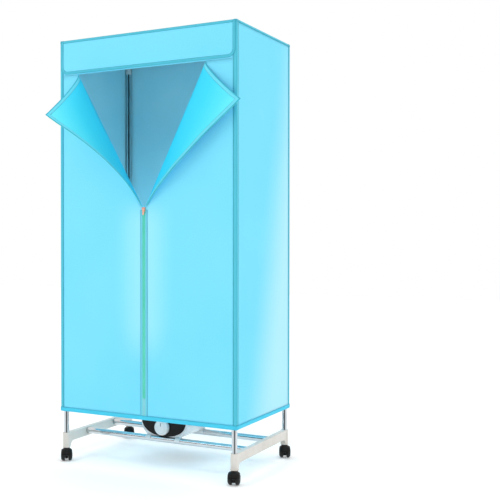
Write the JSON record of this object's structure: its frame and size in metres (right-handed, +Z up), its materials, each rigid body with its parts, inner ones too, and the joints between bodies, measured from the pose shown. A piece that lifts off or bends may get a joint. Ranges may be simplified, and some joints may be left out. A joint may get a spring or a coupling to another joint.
{
  "type": "portable clothes dryer",
  "caption": "Fabric-covered portable clothes dryer: tube frame on swivel casters, zipped door with folded-out corners, front valance, fan heater with knob on the base bars.",
  "frame": {"origin": "on the floor, under the middle of the bounding box of the part as stored, with its door corners folded out", "axes": "+Z up; -Y towards the door, valance and heater knob; +X to the right when facing the door"},
  "size_m": [0.7277, 0.6441, 1.5],
  "materials": {
    "foot_plastic": "warm light grey moulded plastic",
    "joint_plastic": "light grey moulded plastic",
    "chrome_tube": "bright chromed steel tube",
    "caster_plastic": "black nylon",
    "caster_wheel": "black wheel tread",
    "cover_cloth": "light sky-blue coated polyester cloth",
    "flap_cloth": "brighter cyan inner side of the same cloth",
    "zip_teeth": "greenish teal coil zip",
    "zip_metal": "salmon enamelled slider",
    "heater_shell": "white moulded casing",
    "heater_gloss": "black gloss front",
    "knob_plastic": "white satin knob",
    "inner_plastic": "dark grey plastic",
    "motor_steel": "plated motor can",
    "element_metal": "finned heating block",
    "gland_rubber": "black rubber gland"
  },
  "bodies": {
    "cabinet": {"foot_left": "foot_plastic", "foot_right": "foot_plastic", "base_bar_front": "chrome_tube", "base_bar_rear": "chrome_tube", "lower_post_front_left": "chrome_tube", "lower_post_front_right": "chrome_tube", "lower_post_rear_left": "chrome_tube", "lower_post_rear_right": "chrome_tube", "upper_post_front_left": "chrome_tube", "upper_post_front_right": "chrome_tube", "upper_post_rear_left": "chrome_tube", "upper_post_rear_right": "chrome_tube", "mid_connector_front_left": "joint_plastic", "mid_connector_front_right": "joint_plastic", "mid_connector_rear_left": "joint_plastic", "mid_connector_rear_right": "joint_plastic", "top_corner_front_left": "joint_plastic", "top_corner_front_right": "joint_plastic", "top_corner_rear_left": "joint_plastic", "top_corner_rear_right": "joint_plastic", "top_bar_front": "chrome_tube", "top_bar_rear": "chrome_tube", "top_side_bar_left": "chrome_tube", "top_side_bar_right": "chrome_tube", "mid_side_bar_left": "chrome_tube", "mid_side_bar_right": "chrome_tube", "mid_hanging_rod": "chrome_tube", "top_hanging_rod": "chrome_tube", "cover_top": "cover_cloth", "cover_back": "cover_cloth", "cover_left": "cover_cloth", "cover_right": "cover_cloth", "cover_header": "cover_cloth", "door_left": "cover_cloth", "door_right": "cover_cloth", "zip_chain": "zip_teeth", "heater_base": "heater_shell", "heater_cover": "heater_shell", "heater_fascia": "heater_gloss", "timer_unit": "inner_plastic", "outlet_grille": "inner_plastic", "intake_grille": "inner_plastic", "fan_motor": "motor_steel", "heating_element": "element_metal", "cord_gland": "gland_rubber"},
    "caster_swivel_front_left": {"caster_housing_front_left": "caster_plastic"},
    "caster_swivel_front_right": {"caster_housing_front_right": "caster_plastic"},
    "caster_swivel_rear_left": {"caster_housing_rear_left": "caster_plastic"},
    "caster_swivel_rear_right": {"caster_housing_rear_right": "caster_plastic"},
    "wheels_front_left": {"caster_wheels_front_left": "caster_wheel"},
    "wheels_front_right": {"caster_wheels_front_right": "caster_wheel"},
    "wheels_rear_left": {"caster_wheels_rear_left": "caster_wheel"},
    "wheels_rear_right": {"caster_wheels_rear_right": "caster_wheel"},
    "timer_knob": {"timer_knob": "knob_plastic"},
    "fan_impeller": {"fan_impeller": "inner_plastic"},
    "valance": {"valance": "cover_cloth"},
    "zip_slider": {"zip_slider": "zip_metal"},
    "zip_pull": {"zip_pull": "zip_metal"},
    "door_flap_left": {"door_flap_left": "flap_cloth"},
    "door_flap_right": {"door_flap_right": "flap_cloth"}
  },
  "joints": [
    {"name": "swivel_front_left", "type": "hinge", "parent": "cabinet", "child": "caster_swivel_front_left", "pos_m": [-0.3486, -0.10405, 0.0447], "axis": [0, 0, 1], "continuous": true},
    {"name": "swivel_front_right", "type": "hinge", "parent": "cabinet", "child": "caster_swivel_front_right", "pos_m": [0.32499, -0.10405, 0.0447], "axis": [0, 0, 1], "continuous": true},
    {"name": "swivel_rear_left", "type": "hinge", "parent": "cabinet", "child": "caster_swivel_rear_left", "pos_m": [-0.3486, 0.30955, 0.0447], "axis": [0, 0, 1], "continuous": true},
    {"name": "swivel_rear_right", "type": "hinge", "parent": "cabinet", "child": "caster_swivel_rear_right", "pos_m": [0.32499, 0.30955, 0.0447], "axis": [0, 0, 1], "continuous": true},
    {"name": "roll_front_left", "type": "hinge", "parent": "caster_swivel_front_left", "child": "wheels_front_left", "pos_m": [-0.3406, -0.11429, 0.02], "axis": [0.788, 0.6157, 0], "continuous": true},
    {"name": "roll_front_right", "type": "hinge", "parent": "caster_swivel_front_right", "child": "wheels_front_right", "pos_m": [0.32901, -0.11641, 0.02], "axis": [0.9511, 0.309, 0], "continuous": true},
    {"name": "roll_rear_left", "type": "hinge", "parent": "caster_swivel_rear_left", "child": "wheels_rear_left", "pos_m": [-0.34134, 0.29878, 0.02], "axis": [0.829, 0.5592, 0], "continuous": true},
    {"name": "roll_rear_right", "type": "hinge", "parent": "caster_swivel_rear_right", "child": "wheels_rear_right", "pos_m": [0.3311, 0.29808, 0.02], "axis": [0.8829, 0.4695, 0], "continuous": true},
    {"name": "knob_turn", "type": "hinge", "parent": "cabinet", "child": "timer_knob", "pos_m": [-0.0118, 0.01145, 0.13], "axis": [0, 1, 0], "range_deg": [0, 300]},
    {"name": "fan_spin", "type": "hinge", "parent": "cabinet", "child": "fan_impeller", "pos_m": [-0.0118, 0.11275, 0.14], "axis": [0, 0, 1], "continuous": true},
    {"name": "valance_lift", "type": "hinge", "parent": "cabinet", "child": "valance", "pos_m": [-0.0118, -0.11815, 1.4994], "axis": [-1, 0, 0], "range_deg": [0, 170]},
    {"name": "slider_travel", "type": "slide", "parent": "cabinet", "child": "zip_slider", "axis": [0, 0, 1], "range_m": [0, 0.465]},
    {"name": "pull_swing", "type": "hinge", "parent": "zip_slider", "child": "zip_pull", "pos_m": [-0.0118, -0.12235, 0.8973], "axis": [-1, 0, 0], "range_deg": [0, 120]},
    {"name": "flap_left_close", "type": "hinge", "parent": "cabinet", "child": "door_flap_left", "pos_m": [-0.01611, -0.1174, 0.897], "axis": [-0.4906, 0, 0.8714], "range_deg": [0, 111.5]},
    {"name": "flap_right_close", "type": "hinge", "parent": "cabinet", "child": "door_flap_right", "pos_m": [-0.00751, -0.1174, 0.897], "axis": [-0.44, 0, -0.898], "range_deg": [0, 171.5]}
  ],
  "couplings": [
    {"joint": "flap_left_close", "follows": "slider_travel", "rad_per_m": 4.1663},
    {"joint": "flap_right_close", "follows": "slider_travel", "rad_per_m": 6.4183}
  ]
}
